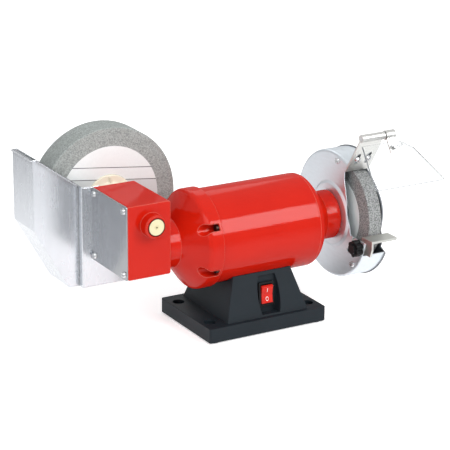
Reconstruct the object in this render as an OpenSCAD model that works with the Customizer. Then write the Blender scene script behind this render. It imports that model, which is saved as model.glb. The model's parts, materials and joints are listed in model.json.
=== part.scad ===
// Wet and dry bench grinder: an induction motor on a moulded base turns a dry wheel on one end of its shaft,
// and through a worm drive a slow, wide wet wheel that dips into a sheet-metal water trough.
// X runs along the motor shaft, the front is -Y, and the underside of the feet is z = 0.

/* [Base] */
// Length of the base plate along the motor
base_l = 182; // [160:1:220]
// Depth of the base plate
base_w = 139; // [128:1:170]
// Height of the base plate with its feet
base_h = 22; // [16:1:30]
// Ledge of the base plate left and right of the column
ledge_x = 28; // [26:1:34]
// Ledge of the base plate in front of and behind the column
ledge_y = 7.5; // [6:0.5:9]
// How far each side of the column leans in at the motor
col_lean = 16; // [8:1:20]
// Wall of the moulded base
base_wall = 3; // [2:0.5:4]
// Diameter of the bolt holes in the base plate
bolt_d = 8.5; // [5:0.5:9]
// Distance of a bolt hole from the end of the base plate
bolt_end = 14; // [12:0.5:14]
// Distance of a bolt hole from the front edge of the base plate
bolt_side = 25.5; // [25:0.5:32]
// Diameter of a rubber foot
foot_d = 16; // [12:1:16]
// How far a foot stands out below the base plate
foot_h = 2; // [1:0.5:4]

/* [Switch] */
// Width of the rocker switch frame
sw_w = 24; // [20:1:30]
// Height of the rocker switch frame
sw_h = 34; // [28:1:38]
// Distance of the switch to the right of the column's centre
sw_off = 6; // [0:1:10]
// Height of the switch's centre above the table
sw_z = 48; // [46:1:52]
// Depth of the finger hollow at the switch's centre
sw_deep = 9; // [7:0.5:10]
// Lean of the finger hollow's floor from upright
sw_lean = 5; // [3:0.5:8]
// Tilt of the rocker from its middle position
rock_a = 6; // [4:0.5:7]

/* [Motor] */
// Height of the motor shaft above the table
axis_h = 129; // [122:1:150]
// Outer radius of the motor housing
motor_r = 65; // [60:0.5:68]
// Length of the housing tube between the end bells
tube_l = 152; // [130:1:160]
// How far the tube's middle lies to the right of the base's middle
tube_off = 8; // [4:1:14]
// Wall of the housing tube
tube_wall = 3; // [2:0.5:5]
// Straight skirt of the left end bell
skirt_l = 16; // [14:1:24]
// Outer radius of that skirt
bell_r = 68.5; // [66:0.5:70]
// Length of the sloping shoulder of an end bell
cone_l = 31; // [24:1:36]
// Radius of an end bell's neck
neck_r = 34; // [30:0.5:38]
// Length of the right end bell's neck
neck_l = 23; // [18:1:28]
// Length of the left neck between bell and gear case
left_neck_l = 19; // [16:1:26]
// Diameter of the motor shaft in its bearings
shaft_d = 17; // [14:0.5:20]
// Outer diameter of a ball bearing
brg_d = 40; // [34:1:46]
// Width of a ball bearing
brg_w = 12; // [10:1:14]
// Radius of the rotor
rotor_r = 36; // [28:0.5:40]
// Length of the rotor and stator stacks
stack_l = 72; // [50:1:80]
// Air gap between rotor and stator
air_gap = 0.5; // [0.3:0.1:1]

/* [Gear case] */
// Width of the gear case along the motor
case_w = 63; // [60:1:70]
// Depth of the gear case in front of the motor shaft
case_front = 38; // [32:1:46]
// Wall of the gear case
case_wall = 4; // [3:0.5:5]
// Number of teeth on the worm wheel
worm_teeth = 21; // [19:1:22]
// Module of the worm drive
gear_m = 2.05; // [1.8:0.05:2.2]
// Width of the worm wheel's rim
gear_w = 10; // [8:1:14]
// Room round the gears inside the gear case
gear_room = 0.9; // [0.5:0.1:3]
// Length of the worm
worm_l = 32; // [26:1:36]
// Radius of the boss on the front of the gear case
boss_r = 16; // [14:0.5:20]
// How far that boss stands out
boss_l = 15; // [8:1:20]

/* [Wet wheel] */
// Diameter of the wet wheel
wet_d = 200; // [180:1:210]
// Width of the wet wheel
wet_w = 40; // [30:1:50]
// Distance of the wet wheel's front face behind the motor shaft
wet_y = 84; // [82:1:92]
// Height of the wet shaft above the motor shaft
wet_rise = 44; // [42:0.5:46]
// How far the wet shaft lies to the right of the gear case's middle
wet_shift = 3; // [0:0.5:4]
// Diameter of the wet shaft
wet_shaft_d = 16; // [12:0.5:18]
// Diameter of a wet wheel clamping flange
wet_flange_d = 69; // [50:1:76]
// Thickness of a wet wheel clamping flange
wet_flange_t = 8; // [5:0.5:9]

/* [Water trough] */
// Room between the wet wheel's rim and the trough's bottom
tr_bottom_gap = 11; // [8:1:20]
// Room between the wet wheel's rim and the trough's ends
tr_end_gap = 13; // [8:1:20]
// Room between the wet wheel's faces and the trough's walls
tr_side_gap = 10; // [10:1:14]
// Thickness of the trough's sheet
tr_t = 1.2; // [0.8:0.1:2]
// Height of the left end's rim above the wet shaft
tr_high = 74; // [50:1:80]
// Height of the rim beside the gear case above the wet shaft
tr_mid = 29; // [27:1:36]
// Depth of the right end's rim below the wet shaft
tr_low = 20; // [19:1:30]
// Half width of the part of the front wall that stands forward
tr_step_half = 49; // [46:1:52]
// How far that part stands forward
tr_step = 11; // [9:0.5:11]
// Width of the lip round the rim
tr_lip = 3; // [2:0.5:8]
// Half of the flat bottom's length
tr_flat = 64; // [54:1:70]
// Height of the sloping ends above the bottom
tr_slope_h = 88; // [70:1:92]

/* [Dry wheel] */
// Diameter of the dry wheel
dry_d = 150; // [125:1:152]
// Width of the dry wheel
dry_w = 20; // [16:1:22]
// Diameter of the shaft in the dry wheel
dry_bore = 12.7; // [10:0.1:14]
// Diameter of a dry wheel clamping flange
dry_flange_d = 50; // [40:1:60]
// Thickness of a dry wheel clamping flange
dry_flange_t = 6; // [4:0.5:7]

/* [Guard] */
// Room between the dry wheel's rim and the guard
guard_gap = 15; // [12:1:20]
// Room between the dry wheel's left face and the guard's disc
guard_side = 14.5; // [13:0.5:18]
// Thickness of the guard's sheet
guard_t = 1.5; // [1:0.1:2]
// Radius of the pressed middle of the guard's disc
dish_r = 47; // [42:1:50]
// Depth of that pressing
dish_deep = 3; // [2:0.5:4]
// Angle below level where the guard's band ends in front
guard_low = 26; // [24:1:30]
// Angle above level where the guard's band ends in front
guard_up = 64; // [62:1:70]
// How far the outer cover bulges past the band
cover_bulge = 22; // [20:1:28]

/* [Tool rest] */
// Gap between the dry wheel and the tool rest
rest_gap = 2; // [1:0.5:3]
// Length of the tool rest's table along the shaft
rest_l = 42; // [34:1:44]
// Depth of the tool rest's table
rest_d = 24; // [20:1:34]
// Depth of the table's top below the shaft
rest_drop = 13; // [8:0.5:15]
// Thickness of the tool rest's sheet
rest_t = 3; // [2:0.5:4]
// Travel of the tool rest towards the wheel and away
rest_travel = 10; // [6:1:12]
// Diameter of the star knob
knob_d = 24; // [20:1:28]

/* [Eye shield] */
// Lean of the spark deflector from upright
defl_lean = 33; // [25:1:35]
// Length of the spark deflector along its slope
defl_l = 66; // [60:1:72]
// Thickness of the spark deflector's sheet
defl_t = 2; // [1.5:0.1:3]
// Travel of the spark deflector up from a new wheel
defl_travel = 8; // [4:1:9]
// Room left in its slots to come down to a worn wheel
defl_wear = 8; // [4:1:12]
// Length of the shield's hinge rod
rod_l = 54; // [48:1:60]
// Diameter of the shield's hinge rod
rod_d = 6; // [5:0.5:8]
// Width of the eye shield at its lower edge
shield_w = 112; // [90:1:120]
// Height of the eye shield along its slope
shield_h = 75; // [60:1:90]
// Thickness of the eye shield
shield_t = 3; // [2:0.5:4]
// Lean of the eye shield from upright
shield_lean = 34; // [25:1:40]

/* [Fits] */
// Running clearance on a radius
run = 0.05; // [0.02:0.01:0.1]
// Clearance between sheet parts that slide or seat
seat = 0.3; // [0.2:0.05:0.4]
// Diameter of the small screws
screw_d = 5; // [4:0.5:5]
// Diameter of the small screws' heads
head_d = 9; // [8:0.5:9]
// Height of the small screws' heads
head_h = 3; // [2:0.5:3]

/* [Hidden] */
$fn = 64;
eps = 0.5;
col_mid = 3;
col_l = base_l - 2 * ledge_x;
col_w = base_w - 2 * ledge_y;
bolt_x = base_l - 2 * bolt_end;
bolt_y = base_w - 2 * bolt_side;
foot_x = base_l - foot_d - 6;
foot_y = base_w - foot_d - 6;
tube_x0 = tube_off - tube_l / 2;
tube_x1 = tube_off + tube_l / 2;
bell_x0 = tube_x0 - skirt_l - cone_l;
bell_x1 = tube_x1 + cone_l;
case_x1 = bell_x0 - left_neck_l;
case_x0 = case_x1 - case_w;
neck_x1 = bell_x1 + neck_l;
case_mid = (case_x0 + case_x1) / 2;
wet_x = case_mid + wet_shift;
wet_z = axis_h + wet_rise;
wet_r = wet_d / 2;
gear_pr = worm_teeth * gear_m / 2;
worm_pr = wet_rise - gear_pr;
worm_pitch = PI * gear_m;
worm_root = worm_pr - 1.1 * gear_m;
worm_tip = worm_pr + 0.8 * gear_m;
gear_tip = gear_pr + 0.8 * gear_m;
gear_root = gear_pr - 1.2 * gear_m;
case_z0 = axis_h - worm_tip - gear_room - case_wall;
case_h = wet_z + gear_tip + gear_room + case_wall - case_z0;
lbrg_x = bell_x0 - brg_w / 2 - 4;
rbrg_x = bell_x1 + brg_w / 2 + 4;
guard_x0 = neck_x1 + dish_deep;
dry_x0 = guard_x0 + guard_side;
dry_x1 = dry_x0 + dry_w;
dry_r = dry_d / 2;
guard_r = dry_r + guard_gap;
guard_x1 = dry_x1 + 2.5;
nut_h = 9;
nut_d = 22;
seat_x = dry_x0 - dry_flange_t;
shaft_x1 = dry_x1 + dry_flange_t + nut_h + 4;
wet_y1 = wet_y + wet_w;
tr_y0 = wet_y - tr_side_gap - tr_t;
tr_y1 = wet_y1 + tr_side_gap + tr_t;
tr_yc = tr_y0 - tr_step;
case_back = tr_yc;
tr_z0 = wet_z - wet_r - tr_bottom_gap - tr_t;
tr_half = wet_r + tr_end_gap + tr_t;
tr_hem = 2.5;
tr_corner = 6;
rear_boss_l = 9;
rear_boss_r = 15;
post_x = 24;
post_z = -46;
bush_wall = 3;
rest_x0 = guard_x0 + guard_t + seat;
rest_z = axis_h - rest_drop;
rest_y1 = -(dry_r + rest_gap);
knob_y = -73;
knob_z = -29;
knob_bolt = 8;
defl_below = 12;
defl_y = -guard_r * cos(guard_up);
defl_z = axis_h + guard_r * sin(guard_up);
defl_top = defl_l - defl_below;
rod_x1 = guard_x0 + rod_l;
rod_r = rod_d / 2;
clamp_t = 2;
clamp_l = 26;
cover_a = [-45, 80, 197];
hub_a = [90, 210, 330];
hub_at = 24;
bell_a = [-28, 28, 152, 208];
pocket_d = 15;
pocket_x = tube_x0 - 4.5;
pocket_at = bell_r - 6;
pocket_boss = tube_x0 - pocket_x - 0.5;
slot_a = [-18, -42];
slot_at = 62;
slot_w = 5;
slot_end = slot_w + 0.6;
cap_d = 30;
cap_h = 44;
defl_bolt = 12;
rib_n = 8;
screw_hole = screw_d + 0.4;
screw_core = screw_d - 0.8;
pillar_r = 4.5;
pillar_at = guard_r - guard_t - pillar_r - 2.5;
front_lean = atan(col_lean / (axis_h - 55 - base_h));
sw_y = -(col_w / 2 - (sw_z - base_h) * tan(front_lean));
sw_x = col_mid + sw_off;
inlet_x = col_mid + 20;
inlet_z = base_h + 18;
inlet_y = col_w / 2 - (inlet_z - base_h) * tan(front_lean);
inlet_d = 14;
sw_pin_d = 3;
hollow_w = sw_w + 10;
hollow_r = 100;
hollow_h = 52;

// A profile of [x, radius] points turned about the motor shaft.
module about_shaft(pts) {
  translate([0, 0, axis_h]) rotate([0, 90, 0]) rotate_extrude() polygon([for (p = pts) [p[1], p[0]]]);
}

// A profile of [y, radius] points turned about the wet shaft.
module about_wet(pts) {
  translate([wet_x, 0, wet_z]) rotate([-90, 0, 0]) rotate_extrude() polygon([for (p = pts) [p[1], p[0]]]);
}

// A straight round bar or bore along X, Y or Z.
module bar_x(x0, x1, d, y = 0, z = 0) {
  translate([x0, y, z]) rotate([0, 90, 0]) cylinder(d = d, h = x1 - x0);
}
module bar_y(y0, y1, d, x = 0, z = 0) {
  translate([x, y0, z]) rotate([-90, 0, 0]) cylinder(d = d, h = y1 - y0);
}

// Outline of a rectangle with round corners, centred.
function round_rect(w, h, r, n = 6) = [for (c = [0:3], i = [0:n])
  [(c == 0 || c == 3 ? 1 : -1) * (w / 2 - r), (c < 2 ? 1 : -1) * (h / 2 - r)]
  + r * [cos(90 * c + 90 * i / n), sin(90 * c + 90 * i / n)]];

// Points of a shoulder from radius r0 to r1 along x, for a profile: a round edge of radius e, then a straight cone.
function shoulder(x0, x1, r0, r1, e = 10, n = 6) = let (d = abs(x1 - x0), h = r0 - r1 - e,
  a = atan2(h, d) + asin(e / norm([d, h]))) concat(
  [for (i = [0:n]) [x0 + sign(x1 - x0) * e * sin(a * i / n), r0 - e * (1 - cos(a * i / n))]], [[x1, r1]]);

// A six-sided nut about X, without its bore.
module hex_x(x0, x1, d) {
  translate([x0, 0, axis_h]) rotate([0, 90, 0]) cylinder(d = d, h = x1 - x0, $fn = 6);
}

// The column's outline: the front view cut by the side view.
module column_block(inset, z0, z1) {
  k = col_lean / (axis_h - 55 - base_h);
  function half(l, z) = l / 2 - (z - base_h) * k - inset;
  intersection() {
    translate([col_mid, base_w, 0]) rotate([90, 0, 0]) linear_extrude(2 * base_w)
      polygon([[-half(col_l, z0), z0], [half(col_l, z0), z0], [half(col_l, z1), z1], [-half(col_l, z1), z1]]);
    translate([-base_l, 0, 0]) rotate([90, 0, 90]) linear_extrude(2 * base_l)
      polygon([[-half(col_w, z0), z0], [half(col_w, z0), z0], [half(col_w, z1), z1], [-half(col_w, z1), z1]]);
  }
}

// Moves a child from the switch's own frame onto the floor of the finger hollow: z points out to the front.
module on_front() {
  translate([sw_x, sw_y + sw_deep, sw_z]) rotate([90 - sw_lean, 0, 0]) children();
}

// Moves a child from the cord inlet's own frame onto the column's sloping back.
module on_back() {
  translate([inlet_x, inlet_y, inlet_z]) rotate([front_lean - 90, 0, 0]) children();
}

// Four places in a rectangle.
module at_corners(dx, dy) {
  for (sx = [-1, 1], sy = [-1, 1]) translate([sx * dx / 2, sy * dy / 2, 0]) children();
}

module base() {
  color("#2c3034") difference() {
    union() {
      translate([0, 0, foot_h]) linear_extrude(base_h - foot_h) polygon(round_rect(base_l, base_w, 3));
      // bolt bosses that reach down to the bench
      at_corners(bolt_x, bolt_y) cylinder(d = bolt_d + 3.5, h = foot_h + eps);
      difference() {
        column_block(0, base_h - eps, axis_h - 30);
        bar_x(-base_l, base_l, 2 * (motor_r + seat), 0, axis_h);
      }
    }
    // hollow underside, open below, with a shoulder for the bottom plate
    difference() {
      union() {
        column_block(base_wall, base_h - base_wall - eps, axis_h - 30);
        translate([col_mid, 0, foot_h - eps]) linear_extrude(base_h - base_wall - foot_h + eps)
          polygon(round_rect(col_l - 2 * base_wall, col_w - 2 * base_wall, 3));
      }
      bar_x(-base_l, base_l, 2 * (motor_r + seat + base_wall), 0, axis_h);
      // thick pad behind the switch
      on_front() translate([-sw_w, base_h - sw_z - 6, -base_wall]) cube([2 * sw_w, hollow_h + 12, col_w / 2]);
    }
    // finger hollow with an upright floor and two curved sides, and the switch's square hole
    on_front() {
      linear_extrude(col_w / 2) intersection() {
        translate([hollow_r - hollow_w / 2, 0]) circle(r = hollow_r, $fn = 128);
        translate([hollow_w / 2 - hollow_r, 0]) circle(r = hollow_r, $fn = 128);
        translate([-sw_w, base_h + 1 - sw_z]) square([2 * sw_w, hollow_h]);
      }
      translate([0, 0, -30]) linear_extrude(40) square([sw_w - 2 + 2 * seat, sw_h - 2 + 2 * seat], center = true);
    }
    // bolt holes with a wide counterbore
    at_corners(bolt_x, bolt_y) {
      translate([0, 0, -eps]) cylinder(d = bolt_d, h = base_h + 1);
      translate([0, 0, base_h - 5]) cylinder(d = bolt_d + 8, h = 6);
    }
    // pockets for the feet
    at_corners(foot_x, foot_y) translate([0, 0, foot_h - eps])
      cylinder(d = foot_d, h = 3 + eps);
    // round opening for the mains lead at the back
    on_back() translate([0, 0, -3 * base_wall]) cylinder(d = inlet_d, h = 6 * base_wall);
    // shoulder for the bottom plate
    translate([col_mid, 0, foot_h - eps]) linear_extrude(2 + eps)
      polygon(round_rect(col_l + 4, col_w + 1, 3));
  }
}

module feet() {
  color("#1b1b1c") at_corners(foot_x, foot_y) difference() {
    cylinder(d = foot_d - 2 * run, h = foot_h + 3);
    translate([0, 0, -eps]) cylinder(d = 6, h = 2.5);
  }
}

module bottom_plate() {
  color("#8d9094") translate([col_mid, 0, foot_h]) linear_extrude(1.5) difference() {
    polygon(round_rect(col_l + 4 - 2 * seat, col_w + 1 - 2 * seat, 3));
    for (i = [-2:2]) translate([i * 14, 0]) square([4, 36], center = true);
  }
}

module cord_inlet() {
  color("#161617") on_back() difference() {
    union() {
      translate([0, 0, -2 * base_wall]) cylinder(d = inlet_d - 2 * run, h = 2 * base_wall + eps);
      cylinder(d1 = inlet_d + 6, d2 = inlet_d + 3, h = 4);
    }
    translate([0, 0, -3 * base_wall]) cylinder(d = inlet_d - 6, h = 6 * base_wall);
  }
}

module switch_frame() {
  color("#141516") on_front() difference() {
    union() {
      linear_extrude(3) polygon(round_rect(sw_w, sw_h, 2));
      translate([0, 0, -14]) linear_extrude(14.5) square([sw_w - 2, sw_h - 2], center = true);
    }
    translate([0, 0, -10]) linear_extrude(20) square([sw_w - 6, sw_h - 6], center = true);
    translate([0, 0, -1]) bar_x(-sw_w / 2 - 1, sw_w / 2 + 1, sw_pin_d);
  }
}

module rocker() {
  h = sw_h - 7;
  w = sw_w - 7;
  color("#d8281f") on_front() translate([0, 0, -1]) rotate([rock_a, 0, 0]) {
    translate([-w / 2, 0, 0]) rotate([90, 0, 90]) linear_extrude(w)
      polygon([[-h / 2 + 4, -5], [-h / 2 + 0.5, 3], [-h / 2 + 1.5, 6.5], [0, 4.6], [h / 2 - 1.5, 6.5],
        [h / 2 - 0.5, 3], [h / 2 - 4, -5]]);
    bar_x(-(sw_w - 3) / 2, (sw_w - 3) / 2, sw_pin_d - 2 * run);
  }
}

module capacitor() {
  color("#c9ccd0") translate([col_mid - 18, 12, foot_h + 1.5]) {
    cylinder(d = cap_d, h = cap_h);
    translate([0, 0, cap_h]) cylinder(d = cap_d * 0.8, h = cap_h / 11);
  }
}

module motor_tube() {
  color("#cf2019") about_shaft([[tube_x0, motor_r - tube_wall], [tube_x0, motor_r], [tube_x1, motor_r],
    [tube_x1, motor_r - tube_wall]]);
}

// An end bell's outer points: x0 is its joint with the tube, dir points away from it.
function bell_outside(x0, dir, skirt, r) = concat(skirt > 0 ? [[x0, r - 1], [x0 + dir, r]] : [],
  shoulder(x0 + dir * skirt, x0 + dir * (skirt + cone_l), r, neck_r));

// An end bell's profile, with its neck and the seat of its bearing.
function bell_profile(x0, dir, skirt, r, neck) = let (xs = x0 + dir * skirt, xc = xs + dir * cone_l,
  xn = xc + dir * neck) concat([[x0, motor_r - tube_wall]], bell_outside(x0, dir, skirt, r),
  [[xn - dir * 2.5, neck_r], [xn, neck_r - 2.5], [xn, brg_d / 2 - 4]],
  [[xc + dir * (brg_w + 4), brg_d / 2 - 4], [xc + dir * (brg_w + 4), brg_d / 2 + run],
   [xc + dir * 2, brg_d / 2 + run], [xc - dir * 2, brg_d / 2 + 4], [xs, motor_r - tube_wall - 6],
   [xs - dir * 1, motor_r - tube_wall]]);

module left_bell() {
  color("#d4261e") difference() {
    union() {
      about_shaft(bell_profile(tube_x0, -1, skirt_l, bell_r, left_neck_l));
      // bosses round the pockets of the through-bolts
      intersection() {
        about_shaft(concat([[tube_x0, 0]], bell_outside(tube_x0, -1, skirt_l, bell_r), [[bell_x0, 0]]));
        at_bell_bolts() bar_x(-cone_l, pocket_boss, pocket_d + 6);
      }
    }
    at_bell_bolts() bar_x(-2 * cone_l, 0, pocket_d);
  }
}

// The floor of each through-bolt pocket of the left bell.
module at_bell_bolts() {
  for (a = bell_a) translate([pocket_x, -pocket_at * cos(a), axis_h - pocket_at * sin(a)]) children();
}

module bell_screws() {
  color("#b9bcc0") at_bell_bolts() rotate([0, -90, 0]) difference() {
    cylinder(d = head_d, h = head_h + 1);
    translate([0, 0, head_h - 0.5]) linear_extrude(3) square([head_d + 1, 1.4], center = true);
  }
}

module right_bell() {
  color("#d4261e") difference() {
    about_shaft(bell_profile(tube_x1, 1, 0, motor_r, neck_l));
    around_guard(hub_a, hub_at) bar_x(neck_x1 - 12, neck_x1 + 1, screw_d);
  }
}

module stator() {
  color("#7d8084") about_shaft([for (p = [[-1, rotor_r + air_gap], [1, rotor_r + air_gap],
    [1, motor_r - tube_wall - run], [-1, motor_r - tube_wall - run]]) [tube_off + p[0] * stack_l / 2, p[1]]]);
}

module windings() {
  color("#b8692e") for (s = [-1, 1]) about_shaft([for (p = [[0, rotor_r + 6], [0, motor_r - tube_wall - 5],
    [12, motor_r - tube_wall - 7], [16, (rotor_r + motor_r) / 2], [12, rotor_r + 8]])
    [tube_off + s * (stack_l / 2 + p[0]), p[1]]]);
}

module rotor() {
  color("#9a9da1") about_shaft([for (p = [[-1, shaft_d / 2 + 2], [1, shaft_d / 2 + 2], [1, rotor_r], [-1, rotor_r]])
    [tube_off + p[0] * stack_l / 2, p[1]]]);
}

module motor_shaft() {
  xw = wet_x + worm_l / 2;
  color("#b4b7bb") about_shaft([[xw, 0], [xw, worm_root - 3], [case_x1 - 1, worm_root - 3],
    [case_x1 - 1, shaft_d / 2 - run], [lbrg_x + brg_w / 2 + 1, shaft_d / 2 - run],
    [lbrg_x + brg_w / 2 + 1, shaft_d / 2 + 2], [rbrg_x - brg_w / 2 - 1, shaft_d / 2 + 2],
    [rbrg_x - brg_w / 2 - 1, shaft_d / 2 - run], [seat_x, shaft_d / 2 - run], [seat_x, dry_bore / 2],
    [shaft_x1 - 1, dry_bore / 2], [shaft_x1, dry_bore / 2 - 1], [shaft_x1, 0]]);
}

module bearings() {
  color("#a7abb0") for (x = [lbrg_x, rbrg_x]) about_shaft([[x - brg_w / 2, shaft_d / 2], [x - brg_w / 2, brg_d / 2 - 1],
    [x - brg_w / 2 + 1, brg_d / 2], [x + brg_w / 2 - 1, brg_d / 2], [x + brg_w / 2, brg_d / 2 - 1],
    [x + brg_w / 2, shaft_d / 2]]);
}

// The two screw places on the back of the gear case that hold the trough.
module at_trough_screws() {
  for (s = [-1, 1]) translate([case_mid + s * post_x, case_back, wet_z + post_z]) children();
}

// Four screw places on the left side of the gear case.
module at_case_corners() {
  inset = 7;
  for (y = [-case_front + inset, case_back - inset], z = [inset, case_h - inset])
    translate([case_x0, y, case_z0 + z]) children();
}

module gear_case() {
  depth = case_front + case_back;
  color("#d2241c") difference() {
    union() {
      translate([case_mid, case_back, case_z0 + case_h / 2]) rotate([90, 0, 0])
        linear_extrude(depth) polygon(round_rect(case_w, case_h, 2.5));
      about_wet([[-case_front - boss_l, 0], [-case_front - boss_l, boss_r - 1.5], [-case_front - boss_l + 1.5, boss_r],
        [-case_front + eps, boss_r], [-case_front + eps, 0]]);
      about_wet([[case_back - eps, 0], [case_back - eps, rear_boss_r + 2], [case_back + rear_boss_l, rear_boss_r],
        [case_back + rear_boss_l, 0]]);
    }
    // gear space, open on the left, with a pillar left in each corner for the cover's screws
    difference() {
      translate([case_x0 - eps, -case_front + case_wall, case_z0 + case_wall])
        cube([case_w - case_wall + eps, depth - 2 * case_wall, case_h - 2 * case_wall]);
      at_case_corners() rotate([0, 90, 0]) cylinder(d = 10, h = case_w - case_wall + eps);
      at_trough_screws() bar_y(-14, 0, 11);
      about_wet([[-case_front, 0], [-case_front, boss_r - 3], [-gear_w / 2 - 6, boss_r - 3], [-gear_w / 2 - 6, 0]]);
      about_wet([[case_back, 0], [case_back, boss_r - 3], [gear_w / 2 + 6, boss_r - 3], [gear_w / 2 + 6, 0]]);
    }
    at_case_corners() translate([-eps, 0, 0]) rotate([0, 90, 0]) cylinder(d = screw_d, h = 14);
    // seats of the two bushes, and the cap's recess in the boss
    bar_y(-case_front - boss_l - eps, case_back + rear_boss_l + eps, wet_shaft_d + 2 * bush_wall, wet_x, wet_z);
    bar_y(-case_front - boss_l - eps, -case_front - boss_l + 4, 2 * (boss_r - 4.5), wet_x, wet_z);
    // passage of the motor shaft
    bar_x(case_x1 - case_wall - eps, case_x1 + eps, 2 * (worm_root - 1.5), 0, axis_h);
    at_trough_screws() bar_y(-13, eps, screw_d - 0.6);
  }
}

module gear_cover() {
  depth = case_front + case_back;
  color("#a3a6aa") difference() {
    translate([case_x0 - 2, (case_back - case_front) / 2, case_z0 + case_h / 2]) rotate([90, 0, 90])
      linear_extrude(2) polygon(round_rect(depth, case_h, 2));
    at_case_corners() translate([-3, 0, 0]) rotate([0, 90, 0]) cylinder(d = screw_hole, h = 4);
  }
}

// A small screw along +X from a seat at the origin: the head stands out towards -X.
module screw_x(len) {
  difference() {
    union() {
      translate([-head_h, 0, 0]) rotate([0, 90, 0]) cylinder(d1 = head_d - 2, d2 = head_d, h = head_h);
      translate([-eps, 0, 0]) rotate([0, 90, 0]) cylinder(d = screw_core, h = len + eps);
    }
    translate([-head_h - 1, -0.6, -head_d / 2]) cube([2.2, 1.2, head_d]);
    translate([-head_h - 1, -head_d / 2, -0.6]) cube([2.2, head_d, 1.2]);
  }
}

module gear_screws() {
  color("#c9cbce") at_case_corners() translate([-2, 0, 0]) screw_x(13);
}

// One turn of the worm's thread, cut square to its axis: the radius rises and falls once round.
function worm_radius(a) = let (t = min(a, 360 - a) / 180)
  t < 0.30 ? worm_tip : t < 0.52 ? worm_tip - (worm_tip - worm_root) * (t - 0.30) / 0.22 : worm_root;

module worm() {
  n = 16;
  color("#a9acb0") translate([wet_x - worm_l / 2, 0, axis_h]) rotate([0, 90, 0])
    rotate([0, 0, 180 - 180 * worm_l / worm_pitch])
    linear_extrude(worm_l, twist = -360 * worm_l / worm_pitch, slices = round(8 * worm_l / worm_pitch), $fn = n)
    polygon([for (i = [0:n - 1]) worm_radius(360 * i / n) * [cos(360 * i / n), sin(360 * i / n)]]);
}

module worm_wheel() {
  ro = gear_tip;
  ri = gear_root;
  pitch_a = 360 / worm_teeth;
  color("#b08a3c") difference() {
    about_wet([[-gear_w / 2 - 5, wet_shaft_d / 2], [-gear_w / 2 - 5, 12.5], [-gear_w / 2, 12.5], [-gear_w / 2, ro],
      [gear_w / 2, ro], [gear_w / 2, 12.5], [gear_w / 2 + 5, 12.5], [gear_w / 2 + 5, wet_shaft_d / 2]]);
    // tooth gaps, one of them straight below the wheel's centre
    for (i = [0:worm_teeth - 1]) translate([wet_x, 0, wet_z]) rotate([0, i * pitch_a, 0])
      translate([0, gear_w / 2 + 1, 0]) rotate([90, 0, 0]) linear_extrude(gear_w + 2)
        polygon([[-0.95 * gear_m, -ri], [0.95 * gear_m, -ri], [1.25 * gear_m, -ro - 1], [-1.25 * gear_m, -ro - 1]]);
  }
}

module wet_shaft() {
  y0 = -case_front - boss_l + 5;
  ys = wet_y - wet_flange_t;
  y1 = wet_y1 + wet_flange_t + nut_h + 5;
  r = wet_shaft_d / 2;
  color("#b4b7bb") about_wet([[y0, 0], [y0, r - run - 1], [y0 + 1, r - run], [-gear_w / 2 - 5, r - run],
    [-gear_w / 2 - 5, r], [gear_w / 2 + 5, r], [gear_w / 2 + 5, r - run], [case_back + rear_boss_l + 1, r - run],
    [case_back + rear_boss_l + 1, r + 3], [ys, r + 3], [ys, r - 2], [y1 - 1, r - 2], [y1, r - 3], [y1, 0]]);
}

module wet_bushes() {
  r = wet_shaft_d / 2;
  color("#a8823a") {
    about_wet([[-case_front - boss_l + 4.5, r], [-case_front - boss_l + 4.5, r + bush_wall],
      [-gear_w / 2 - 5.6, r + bush_wall], [-gear_w / 2 - 5.6, r]]);
    about_wet([[gear_w / 2 + 5.6, r], [gear_w / 2 + 5.6, r + bush_wall],
      [case_back + rear_boss_l, r + bush_wall], [case_back + rear_boss_l, r]]);
  }
}

module bush_cap() {
  y0 = -case_front - boss_l;
  r = boss_r - 4.5;
  color("#e6dcb4") about_wet([[y0 + 4, 0], [y0 + 4, r - run], [y0, r - run], [y0 - 0.8, r - 1.2], [y0 - 0.8, 3],
    [y0, 2.2], [y0, 0]]);
}

module wet_flanges() {
  r = wet_flange_d / 2;
  b = wet_shaft_d / 2 - 2;
  color("#e9dfb8") for (s = [[wet_y, -1], [wet_y1, 1]]) {
    about_wet([for (p = [[0, b], [0, r], [2, r], [3, r - 1], [3.5, r - 9], [wet_flange_t, r - 11], [wet_flange_t, b]])
      [s[0] + s[1] * p[0], p[1]]]);
    // radial ribs between the hub and the outer ring
    translate([wet_x, s[0] + s[1] * 4.5, wet_z]) for (i = [0:rib_n - 1]) rotate([0, 360 * i / rib_n, 0])
      translate([r - 7, 0, 0]) cube([9, 4, 2], center = true);
  }
}

module wet_wheel() {
  r = wet_r;
  color("#a9abac") about_wet([[wet_y, wet_shaft_d / 2 - 2], [wet_y, r - 1], [wet_y + 1, r], [wet_y1 - 1, r],
    [wet_y1, r - 1], [wet_y1, wet_shaft_d / 2 - 2]]);
}

module wet_nut() {
  y0 = wet_y1 + wet_flange_t;
  color("#c3c6ca") difference() {
    translate([wet_x, y0, wet_z]) rotate([-90, 0, 0]) cylinder(d = nut_d, h = nut_h, $fn = 6);
    bar_y(y0 - 1, y0 + nut_h + 1, wet_shaft_d - 4, wet_x, wet_z);
  }
}

// The trough's end view, drawn in by t: a flat bottom, sloping lower corners and upright ends.
module trough_section(t, top) {
  h = tr_half - t;
  f = tr_flat - t * 0.55;
  z1 = tr_slope_h + t * 0.4;
  polygon([[-f, t], [f, t], [h, z1], [h, top], [-h, top], [-h, z1]]);
}

// What lies under the rim, seen from the front.
module under_rim() {
  z = wet_z - tr_z0;
  s = 22;
  polygon([[-2 * tr_half, -1], [2 * tr_half, -1], [2 * tr_half, z - tr_low], [s, z - tr_low], [-s, z - tr_low],
    [-s, z + tr_mid], [-tr_step_half + 3, z + tr_mid], [-tr_half + tr_corner, z + tr_high], [-2 * tr_half, z + tr_high]]);
}

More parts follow.
